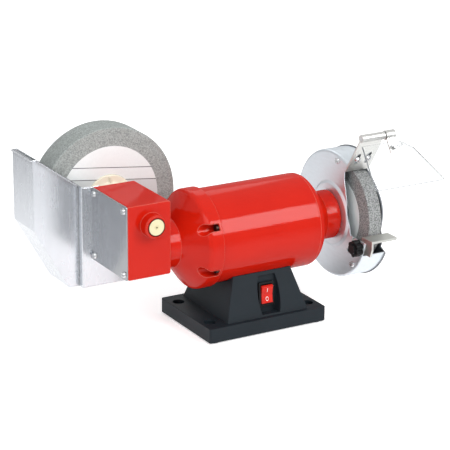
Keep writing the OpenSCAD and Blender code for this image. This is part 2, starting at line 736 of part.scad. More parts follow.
// A front view placed at the trough, from y0 to y1.
module trough_slab(y0, y1) {
  translate([case_mid, y1, tr_z0]) rotate([90, 0, 0]) linear_extrude(y1 - y0) children();
}

module trough() {
  top = wet_z - tr_z0 + tr_high + 1;
  z = wet_z - tr_z0;
  rim_run = tr_half - tr_corner - tr_step_half + 3;
  rim_a = atan2(tr_high - tr_mid, rim_run);
  rim_len = norm([tr_high - tr_mid, rim_run]);
  color("#b9bbbf") {
    difference() {
      union() {
        trough_slab(tr_y0, tr_y1) intersection() {
          trough_section(0, top);
          under_rim();
        }
        trough_slab(tr_yc, tr_y0 + tr_t) intersection() {
          translate([-tr_step_half, 0]) square([2 * tr_step_half, top]);
          under_rim();
        }
      }
      trough_slab(tr_y0 + tr_t, tr_y1 - tr_t) trough_section(tr_t, top + 1);
      trough_slab(tr_yc + tr_t, tr_y0 + 2 * tr_t) translate([-tr_step_half + tr_t, tr_t])
        square([2 * (tr_step_half - tr_t), top]);
      at_trough_screws() bar_y(-1, tr_t + 1, screw_d);
    }
    // lips turned outwards along the left end and the sloping rims
    translate([case_mid - tr_half - tr_lip, tr_y0 + tr_t / 2, wet_z + tr_high - 1.5 * tr_t])
      cube([tr_lip + tr_t / 2, tr_y1 - tr_y0 - tr_t, tr_t]);
    for (y = [tr_y0 - tr_hem, tr_y1 - tr_t / 2]) translate([case_mid - tr_half + tr_corner, y, wet_z + tr_high])
      rotate([0, rim_a, 0]) translate([tr_t, 0, -1.5 * tr_t]) cube([rim_len - 2 * tr_t, tr_hem + tr_t / 2, tr_t]);
  }
}

module trough_screws() {
  color("#c9cbce") at_trough_screws() translate([0, tr_t, 0]) rotate([0, 0, -90]) screw_x(12);
}

// The open front of the guard, seen along the shaft: y forward is negative, z from the shaft.
module guard_window(x0, x1) {
  u = guard_r * [-cos(guard_up), sin(guard_up)];
  v = [-sin(defl_lean), cos(defl_lean)];
  sill = rest_drop + rest_t + 2;
  translate([x0, 0, axis_h]) rotate([90, 0, 90]) linear_extrude(x1 - x0)
    polygon([u - (defl_below + 3) * v, [-31, 58], [-50, -sill], [-2 * guard_r, -sill - 4],
      [-2 * guard_r, 2 * guard_r], u + guard_r * v]);
}

// A wedge round the shaft between two angles above level, in front.
module sector(a0, a1, x0, x1) {
  r = 2 * guard_r;
  translate([x0, 0, axis_h]) rotate([90, 0, 90]) linear_extrude(x1 - x0)
    polygon(concat([[0, 0]], [for (a = [a0, (a0 + a1) / 2, a1]) r * [-cos(a), sin(a)]]));
}

// The front sector where the guard's band is open.
module guard_sector(x0, x1) {
  sector(-guard_low, guard_up, x0, x1);
}

// Places round the shaft on the guard at the given angles above level, in front.
module around_guard(angles, r) {
  for (a = angles) translate([0, -r * cos(a), axis_h + r * sin(a)]) children();
}

// The frame of the spark deflector's slope: x along the shaft, y up the slope, z out towards the front.
module on_slope() {
  translate([0, defl_y, defl_z]) rotate([90 + defl_lean, 0, 0]) children();
}

module guard() {
  x0 = guard_x0;
  t = guard_t;
  color("#b5b8bc") {
    difference() {
      about_shaft([[x0 - dish_deep, 14], [x0 - dish_deep, dish_r - 4], [x0, dish_r], [x0, guard_r - 3], [x0 + 1, guard_r - 1],
        [x0 + 3, guard_r], [guard_x1, guard_r], [guard_x1, guard_r - t], [x0 + 3, guard_r - t], [x0 + t, guard_r - 3],
        [x0 + t, dish_r - 0.5], [x0 - dish_deep + t, dish_r - 4.5], [x0 - dish_deep + t, 14]]);
      guard_window(x0 - dish_deep - 1, guard_x1 + 1);
      guard_sector(x0 + t, guard_x1 + 1);
      around_guard(hub_a, hub_at) bar_x(x0 - dish_deep - 1, x0 + t, screw_hole);
      around_guard(cover_a, pillar_at) bar_x(x0 - 1, x0 + t + 1, screw_hole);
      translate([0, knob_y, axis_h + knob_z]) bar_x(x0 - 1, x0 + t + 1, knob_bolt + 2 * seat);
      // curved slot beside the knob
      around_guard(slot_a, slot_at) bar_x(x0 - 1, x0 + t + 1, slot_end);
      intersection() {
        about_shaft([for (p = [[-1, -1], [t + 1, -1], [t + 1, 1], [-1, 1]]) [x0 + p[0], slot_at + p[1] * slot_w / 2]]);
        sector(slot_a[0], slot_a[1], x0 - 1, x0 + t + 1);
      }
    }
    // three sleeves that carry the outer cover
    difference() {
      around_guard(cover_a, pillar_at) bar_x(x0 + t / 2, guard_x1, 2 * pillar_r);
      around_guard(cover_a, pillar_at) bar_x(x0, guard_x1 + 1, screw_hole);
    }
    // end of the band turned up to carry the spark deflector
    on_slope() difference() {
      translate([x0 + 1, -t, -t]) cube([guard_x1 - x0 - 1, 34, t]);
      for (x = [x0 + 10, guard_x1 - 10]) translate([x, defl_bolt, -t - 1]) cylinder(d = screw_d - 0.6, h = t + 2);
    }
  }
}

module guard_screws() {
  color("#c9cbce") around_guard(hub_a, hub_at)
    translate([guard_x0 - dish_deep + guard_t, 0, 0]) rotate([0, 180, 0]) screw_x(guard_t + 9);
}

module guard_cover() {
  x = guard_x1;
  t = guard_t;
  color("#b5b8bc") difference() {
    about_shaft([[x, guard_r + 1.5], [x + t, guard_r + 1.5], [x + t, guard_r - 16], [x + cover_bulge - 6, dish_r + 4],
      [x + cover_bulge, dish_r - 4], [x + cover_bulge, 0], [x + cover_bulge - t, 0], [x + cover_bulge - t, dish_r - 5],
      [x + cover_bulge - 6 - t, dish_r + 3], [x, guard_r - 17]]);
    guard_window(x - 1, x + cover_bulge + 1);
    intersection() {
      guard_sector(x - 1, x + t + 1);
      about_shaft([[x - 2, guard_r - 12], [x + t + 2, guard_r - 12], [x + t + 2, guard_r + 5], [x - 2, guard_r + 5]]);
    }
    around_guard(cover_a, pillar_at) bar_x(x - 1, x + t + 1, screw_d - 0.6);
  }
}

module cover_screws() {
  color("#c9cbce") around_guard(cover_a, pillar_at) translate([guard_x0, 0, 0])
    screw_x(guard_x1 - guard_x0 + guard_t + 2);
}

module dry_wheel() {
  color("#8f9293") about_shaft([[dry_x0, dry_bore / 2], [dry_x0, dry_r - 1], [dry_x0 + 1, dry_r], [dry_x1 - 1, dry_r],
    [dry_x1, dry_r - 1], [dry_x1, dry_bore / 2]]);
}

module dry_flanges() {
  r = dry_flange_d / 2;
  color("#9ea1a5") for (s = [[dry_x0, -1], [dry_x1, 1]])
    about_shaft([for (p = [[0, dry_bore / 2], [0, r - 8], [1, r - 8], [1, r - 6], [0, r - 6], [0, r], [2, r],
      [3.5, r - 8], [dry_flange_t, r - 10], [dry_flange_t, dry_bore / 2]]) [s[0] + s[1] * p[0], p[1]]]);
}

module dry_nut() {
  x0 = dry_x1 + dry_flange_t;
  color("#c3c6ca") difference() {
    hex_x(x0, x0 + nut_h, nut_d);
    bar_x(x0 - 1, x0 + nut_h + 1, dry_bore, 0, axis_h);
  }
}

module tool_rest() {
  x0 = rest_x0;
  y0 = rest_y1 - rest_d;
  z1 = rest_z;
  color("#b3b5b4") difference() {
    union() {
      translate([x0, y0, z1 - rest_t]) linear_extrude(rest_t)
        polygon([[0, 0], [rest_l - 1.5, 0], [rest_l, 1.5], [rest_l, rest_d], [0, rest_d]]);
      // arm bent down along the guard's disc, drawn in towards its end
      translate([x0, 0, z1]) rotate([90, 0, 90]) linear_extrude(rest_t)
        polygon([[y0, 0], [rest_y1, 0], [rest_y1 + 3, -10], [knob_y + rest_travel + 10, knob_z + rest_drop + 8],
          [knob_y + rest_travel + 10, knob_z + rest_drop - 7], [y0 + 4, knob_z + rest_drop - 7], [y0, -12]]);
    }
    // straight slot for the clamping bolt
    translate([x0 - 1, 0, axis_h + knob_z]) rotate([90, 0, 90]) linear_extrude(rest_t + 2) union() {
      translate([knob_y - 1, 0]) circle(d = knob_bolt + 2 * seat);
      translate([knob_y + rest_travel, 0]) circle(d = knob_bolt + 2 * seat);
      translate([knob_y - 1, -knob_bolt / 2 - seat]) square([rest_travel + 1, knob_bolt + 2 * seat]);
    }
  }
}

module rest_knob() {
  x1 = guard_x0 - 0.4;
  x2 = rest_x0 + rest_t + 0.4;
  color("#17181a") translate([0, knob_y, axis_h + knob_z]) {
    translate([x1 - 10, 0, 0]) rotate([0, 90, 0]) linear_extrude(10) union() {
      circle(d = knob_d - 6);
      for (i = [0:5]) rotate(60 * i) translate([knob_d / 2 - 4, 0]) circle(d = 8);
    }
    bar_x(x1 - 13, x1 - 9, knob_d - 10);
    bar_x(x1 - 1, x2 + 1, knob_bolt - 2 * run);
    bar_x(x2, x2 + 5, knob_bolt + 5);
  }
}

module deflector() {
  t = defl_t;
  x0 = guard_x0;
  x1 = guard_x1;
  color("#c4c5c3") on_slope() difference() {
    union() {
      translate([x0, -defl_below, seat]) cube([x1 - x0, defl_l - rod_r - 1, t]);
      // rolled upper edge round the shield's rod
      translate([0, defl_top, seat + t / 2]) bar_x(x0, x1, rod_d + 5);
    }
    translate([0, defl_top, seat + t / 2]) bar_x(x0 - 1, x1 + 1, rod_d + 2 * run);
    for (x = [x0 + 10, x1 - 10]) {
      for (y = [-defl_travel, defl_wear]) translate([x, defl_bolt + y, seat - 1])
        cylinder(d = screw_d + 2 * seat, h = t + 2);
      translate([x - screw_d / 2 - seat, defl_bolt - defl_travel, seat - 1])
        cube([screw_d + 2 * seat, defl_travel + defl_wear, t + 2]);
    }
  }
}

module deflector_screws() {
  color("#c9cbce") on_slope() for (x = [guard_x0 + 10, guard_x1 - 10])
    translate([x, defl_bolt, 2 * seat + defl_t]) rotate([0, 90, 0]) screw_x(defl_t + guard_t + 2 * seat + 3);
}

// The frame of the shield: x along the shaft, y down its slope, z in towards the wheel, from the rod's axis.
module on_rod() {
  on_slope() translate([0, defl_top, seat + defl_t / 2]) rotate([180 - defl_lean - shield_lean, 0, 0]) children();
}

module shield_rod() {
  color("#b4b7bb") on_slope() translate([0, defl_top, seat + defl_t / 2]) bar_x(guard_x0, rod_x1, rod_d);
}

// The clamp that turns on the rod beside the deflector and holds the shield.
module shield_clamp() {
  x0 = guard_x1 + 1;
  x1 = rod_x1 - 1;
  color("#c4c5c3") on_rod() difference() {
    union() {
      bar_x(x0, x1, rod_d + 7);
      translate([x0, 0, -shield_t / 2 - clamp_t]) cube([x1 - x0, clamp_l, clamp_t]);
    }
    bar_x(x0 - 1, x1 + 1, rod_d + 2 * run);
    wing_axis() translate([0, 0, -clamp_t - 1]) cylinder(d = screw_d + 2 * run, h = clamp_t + 2);
  }
}

// The wing screw's frame on the shield's slope: z out through the clamp's face.
module wing_axis() {
  translate([(guard_x1 + rod_x1) / 2, clamp_l - 7, -shield_t / 2 - clamp_t]) rotate([180, 0, 0]) children();
}

module eye_shield() {
  x0 = guard_x0 - 2;
  x1 = x0 + shield_w;
  y0 = rod_r + 8;
  color("#e8f0f2", 0.35) on_rod() difference() {
    translate([0, 0, -shield_t / 2]) linear_extrude(shield_t)
      polygon([[x0, y0], [rod_x1 + 4, y0], [x1 - 33, y0 + 12], [x1 - 2, shield_h - 5], [x1, shield_h - 2],
        [x1 - 1, shield_h], [x0 + 3, shield_h], [x0, shield_h - 3]]);
    wing_axis() translate([0, 0, -clamp_t - shield_t - 1]) cylinder(d = screw_d + 2 * run, h = shield_t + 2);
  }
}

module shield_screw() {
  color("#b9bcc0") on_rod() wing_axis() {
    cylinder(d = 8, h = 5);
    for (s = [-1, 1]) translate([s * 5.5, 1, 5]) rotate([90, 0, 0]) cylinder(d = 8, h = 2);
    translate([0, 0, -clamp_t - shield_t - 3]) cylinder(d = screw_d, h = clamp_t + shield_t + 3 + eps);
  }
}

base();
feet();
bottom_plate();
cord_inlet();
switch_frame();
rocker();
capacitor();
motor_tube();
left_bell();
right_bell();
bell_screws();
stator();
windings();
rotor();
motor_shaft();
bearings();
gear_case();
gear_cover();
gear_screws();
worm();
worm_wheel();
wet_shaft();
wet_bushes();
bush_cap();
wet_flanges();
wet_wheel();
wet_nut();
trough();
trough_screws();
guard();
guard_screws();
guard_cover();
cover_screws();
dry_wheel();
dry_flanges();
dry_nut();
tool_rest();
rest_knob();
deflector();
deflector_screws();
shield_rod();
eye_shield();
shield_clamp();
shield_screw();
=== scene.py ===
# Finishes and fine pieces of a bench grinder with a dry wheel, a wet wheel and a water trough.
import json
import math

import bpy
from mathutils import Matrix, Vector


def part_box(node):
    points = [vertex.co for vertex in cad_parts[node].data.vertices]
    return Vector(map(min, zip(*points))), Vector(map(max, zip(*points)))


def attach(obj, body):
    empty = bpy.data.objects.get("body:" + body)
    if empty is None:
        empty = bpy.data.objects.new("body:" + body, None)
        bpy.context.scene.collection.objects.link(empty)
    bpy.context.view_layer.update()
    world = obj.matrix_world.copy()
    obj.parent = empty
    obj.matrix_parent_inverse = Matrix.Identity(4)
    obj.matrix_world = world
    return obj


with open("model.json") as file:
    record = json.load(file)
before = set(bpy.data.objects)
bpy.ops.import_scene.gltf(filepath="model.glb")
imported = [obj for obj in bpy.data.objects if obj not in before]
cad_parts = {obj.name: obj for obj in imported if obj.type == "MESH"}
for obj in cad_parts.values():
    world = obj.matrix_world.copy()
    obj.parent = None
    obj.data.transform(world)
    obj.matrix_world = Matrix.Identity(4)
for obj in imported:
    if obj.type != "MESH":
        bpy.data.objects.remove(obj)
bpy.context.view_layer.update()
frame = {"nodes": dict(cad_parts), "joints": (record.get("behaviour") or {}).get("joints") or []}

bl_info = {
    "name": "Wet and dry grinder",
    "version": (1, 0, 0),
    "blender": (4, 5, 0),
    "location": "View3D > Sidebar > Grinder",
    "description": "Finishes and fine pieces of a bench grinder with a dry and a wet wheel",
    "category": "Object",
}


def linear(hex_value):
    """An sRGB hex colour as linear red, green and blue."""
    parts = [int(hex_value[i:i + 2], 16) / 255 for i in (1, 3, 5)]
    return [c / 12.92 if c <= 0.04045 else ((c + 0.055) / 1.055) ** 2.4 for c in parts]


def colour(name, description, hex_value):
    """A colour that a user can change."""
    return bpy.props.FloatVectorProperty(
        name=name, description=description, subtype="COLOR", size=3, min=0, max=1, default=linear(hex_value))


def length(name, description, value):
    """A length in metres that a user can change."""
    return bpy.props.FloatProperty(
        name=name, description=description, subtype="DISTANCE", unit="LENGTH", default=value, precision=5)


class GrinderColours(bpy.types.PropertyGroup):
    """Colours of the grinder's finishes and of its stage."""
    red: colour("Red enamel", "Paint of the motor, end bells and gear case", "#D0210F")
    red_deep: colour("Red enamel, thick", "Paint where it has run thicker", "#C11A0B")
    # The next colour is a painted highlight: a pale red laid along the enamel's edges.
    red_edge_highlight: colour("Red enamel, painted edge highlight", "Painted highlight along the edges", "#EE8472")
    slate: colour("Slate plastic", "Moulded base", "#1C242A")
    black: colour("Black plastic", "Knob, switch frame and cord inlet", "#141517")
    rubber: colour("Rubber", "Feet", "#242425")
    rocker: colour("Rocker red", "Switch rocker", "#D62A20")
    mark: colour("Pad print", "Marks on the rocker", "#F1F1EE")
    zinc: colour("Galvanised sheet", "Water trough and bottom plate", "#D6D9DE")
    sheet: colour("Satin sheet", "Guard of the dry wheel", "#DFE6EC")
    plate: colour("Cover plate", "Side plate of the gear case and dry wheel flanges", "#9C9EA1")
    cover: colour("Grey sheet", "Outer cover of the dry wheel", "#8A8E93")
    bright: colour("Bright zinc", "Screws, nuts, rod and shafts", "#D2D4D6")
    pressed: colour("Pressed steel", "Deflector and shield clamp", "#DCDCD9")
    rest: colour("Dull zinc", "Tool rest", "#D0D1CC")
    dark_screw: colour("Dark screw", "Screws in the end bell's pockets", "#4A3B36")
    dry_stone: colour("Dry stone", "Body of the dry wheel", "#969898")
    wet_stone: colour("Wet stone", "Body of the wet wheel", "#A6ACAA")
    cream: colour("Cream nylon", "Wet wheel flanges", "#F0EAD6")
    beige: colour("Beige nylon", "Bush cap of the gear case", "#E6DDB6")
    gate: colour("Broken nylon", "Gate mark of the bush cap", "#6E6446")
    # The next colour is painted shadow: the dark ring in the gap round the bush cap.
    gap: colour("Shadow gap", "Painted shadow in the gap round the bush cap", "#4A0A06")
    paper: colour("Label paper", "Paper discs on the wheels", "#F0F5F5")
    ink: colour("Print", "Rules printed on the paper discs", "#4A4B4D")
    clear: colour("Clear sheet", "Faces of the eye shield", "#FCFDFD")
    clear_edge: colour("Clear sheet, sawn", "Edges of the eye shield", "#81898E")
    bronze: colour("Bronze", "Worm wheel and bushes", "#B08A45")
    lamination: colour("Silicon steel", "Stator and rotor", "#85888C")
    copper: colour("Varnished copper", "Winding heads", "#B4672F")
    can: colour("Drawn aluminium", "Capacitor", "#C8CBCE")
    sweep: colour("Paper sweep", "Floor of the stage", "#F8F8F8")
    sweep_far: colour("Paper sweep, far", "Floor of the stage as it is mirrored from afar", "#B5B7BA")


class GrinderSizes(bpy.types.PropertyGroup):
    """Sizes of the fine pieces and of the surface textures."""
    wet_label_r: length("Wet label radius", "Outer radius of the wet wheel's paper disc", 0.074)
    dry_label_r: length("Dry label radius", "Outer radius of the dry wheel's paper disc", 0.050)
    label_t: length("Label thickness", "Thickness of a paper disc", 0.0004)
    label_gap: length("Label gap", "Gap between a paper disc and the flange inside it", 0.0003)
    bar_w: length("Bar width", "Width of the bar on the rocker", 0.0009)
    bar_h: length("Bar height", "Height of the bar on the rocker", 0.0056)
    bar_t: length("Bar thickness", "Thickness of the bar on the rocker", 0.0003)
    ring_r: length("Ring radius", "Radius of the ring on the rocker", 0.0024)
    ring_line: length("Ring line", "Half the width of the ring's line", 0.00042)
    mark_at: length("Mark place", "Distance of a mark from the rocker's middle", 0.0062)
    mark_up: length("Mark rise", "Height of a mark over the rocker's pin", 0.00565)
    # The next three sizes place the painted shadow ring round the bush cap.
    shadow_ring_out: length("Cap gap", "How far the gap reaches out from the bush cap", 0.0011)
    shadow_ring_in: length("Cap gap lap", "How far the gap reaches in under the bush cap", 0.0004)
    shadow_ring_t: length("Cap gap depth", "Thickness of the dark ring in the gap", 0.0003)
    gate_r: length("Gate radius", "Radius of the bush cap's gate mark", 0.0011)
    gate_t: length("Gate height", "Thickness of the bush cap's gate mark", 0.0004)
    peel: length("Orange peel", "Wave length of the sprayed enamel's surface", 0.0022)
    grit: length("Grit", "Size of a grain of the stones as it shows", 0.0011)
    spangle: length("Spangle", "Size of a zinc crystal on the trough", 0.011)
    mould: length("Mould texture", "Grain of the moulded base", 0.0009)
    edge: length("Enamelled edge", "Radius of an edge under the enamel", 0.0010)
    lens: bpy.props.FloatProperty(
        name="Lens", description="Focal length of the camera", subtype="DISTANCE_CAMERA", default=161.7)


def add(tree, kind, settings=(), inputs=()):
    """One shader node with its settings; an input is a value or the socket that feeds it."""
    node = tree.nodes.new("ShaderNode" + kind)
    for name, value in dict(settings).items():
        setattr(node, name, value)
    for name, value in dict(inputs).items():
        if isinstance(value, bpy.types.NodeSocket):
            tree.links.new(value, node.inputs[name])
        else:
            node.inputs[name].default_value = value
    return node


def surface(name, **sockets):
    """A new material with its tree, shader and object coordinates; sockets are set on the shader."""
    material = bpy.data.materials.new(name)
    material.use_nodes = True
    tree = material.node_tree
    shader = tree.nodes["Principled BSDF"]
    for socket, value in sockets.items():
        shader.inputs[socket.replace("_", " ").title().replace("Ior", "IOR")].default_value = value
    return material, tree, shader, add(tree, "TexCoord").outputs["Object"]


def feed(tree, shader, **sockets):
    """Links sockets to the shader's inputs of the same names."""
    for name, socket in sockets.items():
        tree.links.new(socket, shader.inputs[name.replace("_", " ").title()])


def rgba(value, gain=1.0):
    """A colour property as four numbers, lighter or darker by gain."""
    return [min(1.0, c * gain) for c in value] + [1.0]


def blend(tree, share, first, second):
    """The colour between two colours, by a share."""
    return add(tree, "Mix", {"data_type": "RGBA"}, {0: share, 6: first, 7: second}).outputs[2]


def between(tree, share, first, second):
    """The value between two values, by a share."""
    return add(tree, "Mix", {"data_type": "FLOAT"}, {0: share, 2: first, 3: second}).outputs[0]


def maths(tree, operation, first, second=0.0):
    """One step of arithmetic."""
    return add(tree, "Math", {"operation": operation}, {0: first, 1: second}).outputs[0]


def spread(tree, value, low, high, from_low=0.0, from_high=1.0, kind="LINEAR"):
    """A value moved from one range to another and kept inside it."""
    return add(tree, "MapRange", {"interpolation_type": kind},
               {"Value": value, "From Min": from_low, "From Max": from_high,
                "To Min": low, "To Max": high}).outputs[0]


def noise(tree, place, size, detail, **more):
    """Noise with waves of this size in metres."""
    inputs = {"Vector": place, "Scale": 1 / size, "Detail": detail, **more}
    return add(tree, "TexNoise", (), inputs).outputs["Fac"]


def soft_edge(tree, radius, samples=4):
    """The normal over edges rounded by a radius."""
    return add(tree, "Bevel", {"samples": samples}, {"Radius": radius}).outputs[0]


def relief(tree, height, strength, depth, normal=None):
    """A bump of this depth in metres, over another normal where one is given."""
    inputs = {"Strength": strength, "Distance": depth, "Height": height}
    if normal is not None:
        inputs["Normal"] = normal
    return add(tree, "Bump", (), inputs).outputs[0]


def red_enamel(name, peel, wave, edge):
    """Enamel sprayed on steel or on a casting: deep colour under a clear gloss with a faint orange peel,
    and a painted highlight that turns the colour paler along the edges, as if they caught the light."""
    look = bpy.context.scene.grinder_colours
    run_size, edge_highlight_share = 0.06, 0.5
    material, tree, shader, place = surface(
        name, roughness=0.4, specular_ior_level=0.0, coat_weight=0.4, coat_roughness=0.07)
    tone = blend(tree, noise(tree, place, run_size, 1.0), rgba(look.red_deep), rgba(look.red))
    round_edge = soft_edge(tree, edge, 6)
    alike = add(tree, "VectorMath", {"operation": "DOT_PRODUCT"},
                {0: round_edge, 1: add(tree, "NewGeometry").outputs["Normal"]}).outputs["Value"]
    # Painted highlight: where the bevelled normal turns away from the true normal, at the edges, the colour
    # is mixed towards the pale edge red.
    thin = spread(tree, alike, 0.0, edge_highlight_share, 0.99, 0.82)
    skin = noise(tree, place, peel, 2.0, Roughness=0.4)
    bump = relief(tree, skin, 0.5, wave, round_edge)
    feed(tree, shader, base_color=blend(tree, thin, tone, rgba(look.red_edge_highlight)), normal=bump, coat_normal=bump)
    return material


def moulded_plastic(name, tint, roughness, grain, depth, edge):
    """ABS, nylon or rubber from a spark-eroded mould: an even fine grain that breaks the sheen."""
    cloud_size = 0.04
    material, tree, shader, place = surface(name, roughness=roughness, specular_ior_level=0.18)
    grains = noise(tree, place, grain, 2.0)
    tone = blend(tree, noise(tree, place, cloud_size, 2.0), rgba(tint, 0.86), rgba(tint, 1.14))
    gloss = spread(tree, grains, roughness - 0.08, roughness + 0.1)
    bump = relief(tree, grains, 0.6, depth, soft_edge(tree, edge))
    feed(tree, shader, base_color=tone, roughness=gloss, normal=bump)
    return material


def rolled_metal(name, tint, roughness, stretch, line, edge, metallic=1.0):
    """Sheet or bar with the lines its rolls or tools left: stretch draws them out along an axis. A metallic
    under one is for sheet with a matt coat that scatters part of the light."""
    cloud_size, cloud_share, line_depth = 0.035, 0.4, 0.00002
    material, tree, shader, place = surface(name, metallic=metallic, roughness=roughness)
    drawn = add(tree, "Mapping", (), {"Vector": place, "Scale": stretch}).outputs[0]
    lines = noise(tree, drawn, line, 3.0, Roughness=0.6)
    both = between(tree, cloud_share, lines, noise(tree, place, cloud_size, 2.0))
    tone = blend(tree, both, rgba(tint, 0.8), rgba(tint, 1.12))
    gloss = spread(tree, both, roughness - 0.07, roughness + 0.09, 0.3, 0.7)
    bump = relief(tree, lines, 0.25, line_depth, soft_edge(tree, edge))
    feed(tree, shader, base_color=tone, roughness=gloss, normal=bump)
    return material


def galvanised_sheet(name, tint, spangle, edge):
    """Galvanised sheet: soft upright streaks from the rolls over zinc crystals that differ only a little,
    with painted shade that darkens every fold and crease."""
    streak_size, streak_share = 0.009, 0.82
    wave_size, wave_depth, fold_shade_size = 0.05, 0.0012, 0.006
    material, tree, shader, place = surface(name, metallic=0.92, roughness=0.25)
    crystals = add(tree, "TexVoronoi", (), {"Vector": place, "Scale": 1 / spangle, "Randomness": 1.0})
    crystal = add(tree, "SeparateColor", (), {"Color": crystals.outputs["Color"]}).outputs[0]
    upright = add(tree, "Mapping", (), {"Vector": place, "Scale": (1.0, 1.0, 0.04)}).outputs[0]
    mixed = between(tree, streak_share, crystal, noise(tree, upright, streak_size, 2.0))
    tone = blend(tree, mixed, rgba(tint, 0.84), rgba(tint, 1.14))
    # Painted shade: ambient occlusion darkens the colour in every fold and crease of the sheet.
    painted_fold_shade = add(tree, "AmbientOcclusion", {"samples": 6, "only_local": True},
                {"Color": tone, "Distance": fold_shade_size})
    gloss = spread(tree, mixed, 0.2, 0.32, 0.2, 0.8)
    bump = relief(tree, noise(tree, upright, wave_size, 0.0), 0.3, wave_depth, soft_edge(tree, edge, 6))
    feed(tree, shader, base_color=painted_fold_shade.outputs["Color"], roughness=gloss, normal=bump)
    return material


def grinding_stone(name, tint, grit, dark, light):
    """Vitrified aluminium oxide: sharp grey grains with pale and dark ones and pores between them.
    Real grit is about 0.3 to 0.7 mm; it is drawn coarser so that it shows."""
    fine_size, fine_share, pore_depth = grit / 2.2, 0.35, 0.0006
    material, tree, shader, place = surface(name, roughness=0.92)
    grains = add(tree, "TexVoronoi", (), {"Vector": place, "Scale": 1 / grit, "Randomness": 1.0})
    grain = add(tree, "SeparateColor", (), {"Color": grains.outputs["Color"]})
    fine = noise(tree, place, fine_size, 2.0)
    mixed = between(tree, fine_share, grain.outputs[0], fine)
    steps = spread(tree, mixed, 0.0, 1.0, 0.15, 0.85, "SMOOTHSTEP")
    tone = blend(tree, steps, rgba(tint, dark), rgba(tint, light))
    height = maths(tree, "ADD", grain.outputs[1], fine)
    feed(tree, shader, base_color=tone, normal=relief(tree, height, 0.8, pore_depth))
    return material


def printed_paper(name, look, centre, axis, turn, rules, ground):
    """Coated label paper: nearly white with faint fibres; rules are printed lines at these heights over the
    wheel's centre, turned with the wheel, and ground is the grey of the print under the lowest one."""
    fibre_size, fibre_depth, half_rule = 0.0025, 0.00005, 0.0005
    material, tree, shader, place = surface(name, roughness=0.6, specular_ior_level=0.3)
    fibre = noise(tree, place, fibre_size, 4.0)
    tone = blend(tree, fibre, rgba(look.paper, 0.95), rgba(look.paper, 1.03))
    turned = add(tree, "VectorRotate", {"rotation_type": axis},
                 {"Vector": place, "Center": centre, "Angle": turn})
    height = add(tree, "SeparateXYZ", (), {"Vector": turned.outputs[0]}).outputs["Z"]
    below = maths(tree, "LESS_THAN", height, centre.z + min(rules))
    printed = blend(tree, below, tone, rgba(look.paper, ground))
    for rule in rules:
        band = add(tree, "Math", {"operation": "COMPARE"}, {0: height, 1: centre.z + rule, 2: half_rule})
        printed = blend(tree, band.outputs[0], printed, rgba(look.ink))
    feed(tree, shader, base_color=printed, normal=relief(tree, fibre, 0.2, fibre_depth))
    return material


def clear_sheet(name, look, facing):
    """Clear polycarbonate, sawn from sheet: almost no tint and a faint waviness on the faces that look along
    facing, and grey frosted cut edges."""
    wave_size, wave_depth = 0.03, 0.0003
    sawn, polished = 0.5, 0.03
    material, tree, shader, place = surface(name, roughness=polished, transmission_weight=1.0, ior=1.3)
    turned = add(tree, "VectorMath", {"operation": "DOT_PRODUCT"},
                 {0: add(tree, "TexCoord").outputs["Normal"], 1: facing}).outputs["Value"]
    face = spread(tree, maths(tree, "ABSOLUTE", turned), 0.0, 1.0, 0.5, 0.9)
    tone = blend(tree, face, rgba(look.clear_edge), rgba(look.clear))
    gloss = spread(tree, face, sawn, polished)
    bump = relief(tree, noise(tree, place, wave_size, 1.0), 0.06, wave_depth)
    feed(tree, shader, base_color=tone, roughness=gloss, normal=bump)
    return material


def dress(material, *nodes):
    """Gives CAD nodes one finish."""
    for node in nodes:
        slots = frame["nodes"][node].data.materials
        slots.clear()
        slots.append(material)


def primitive(name, kind, **settings):
    """Adds a primitive with nothing else selected, applies its place and names it."""
    bpy.ops.object.select_all(action="DESELECT")
    getattr(bpy.ops.mesh, "primitive_" + kind + "_add")(**settings)
    bpy.ops.object.transform_apply(location=True, rotation=True, scale=True)
    piece = bpy.context.object
    piece.name = piece.data.name = name
    return piece


def pick(piece, test):
    """Opens edit mode with only those faces selected whose centre and normal pass the test."""
    bpy.ops.object.mode_set(mode="EDIT")
    bpy.ops.mesh.select_mode(type="FACE")
    bpy.ops.mesh.select_all(action="DESELECT")
    bpy.ops.object.mode_set(mode="OBJECT")
    for face in piece.data.polygons:
        face.select = test(face.center, face.normal)
    bpy.ops.object.mode_set(mode="EDIT")


def modify(piece, kind, **settings):
    """Adds a modifier and applies it."""
    bpy.ops.object.mode_set(mode="OBJECT")
    modifier = piece.modifiers.new(kind.title(), kind)
    for name, value in settings.items():
        setattr(modifier, name, value)
    bpy.ops.object.modifier_apply(modifier=modifier.name)


def settle(piece, body, material, angle=35):
    """Ends a piece: smooth shading up to an angle, its finish, and the body that it moves with."""
    bpy.ops.object.mode_set(mode="OBJECT")
    bpy.ops.object.shade_smooth_by_angle(angle=math.radians(angle))
    piece.data.materials.clear()
    piece.data.materials.append(material)
    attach(piece, body)


def middle(node):
    """Centre of a node's box."""
    low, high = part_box(node)
    return (low + high) / 2


def half_size(node):
    """Half the size of a node's box."""
    low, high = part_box(node)
    return (high - low) / 2


def thin_ring(name, centre, turn, outer, inner, thick):
    """A thin disc with a hole, facing along the turned Z axis."""
    ring = primitive(name, "circle", vertices=128, radius=outer, fill_type="NGON", location=centre,
                     rotation=turn)
    pick(ring, lambda c, n: True)
    bpy.ops.mesh.inset(thickness=outer - inner, use_even_offset=False)
    bpy.ops.mesh.delete(type="FACE")
    modify(ring, "SOLIDIFY", thickness=thick, offset=-1)
    return ring


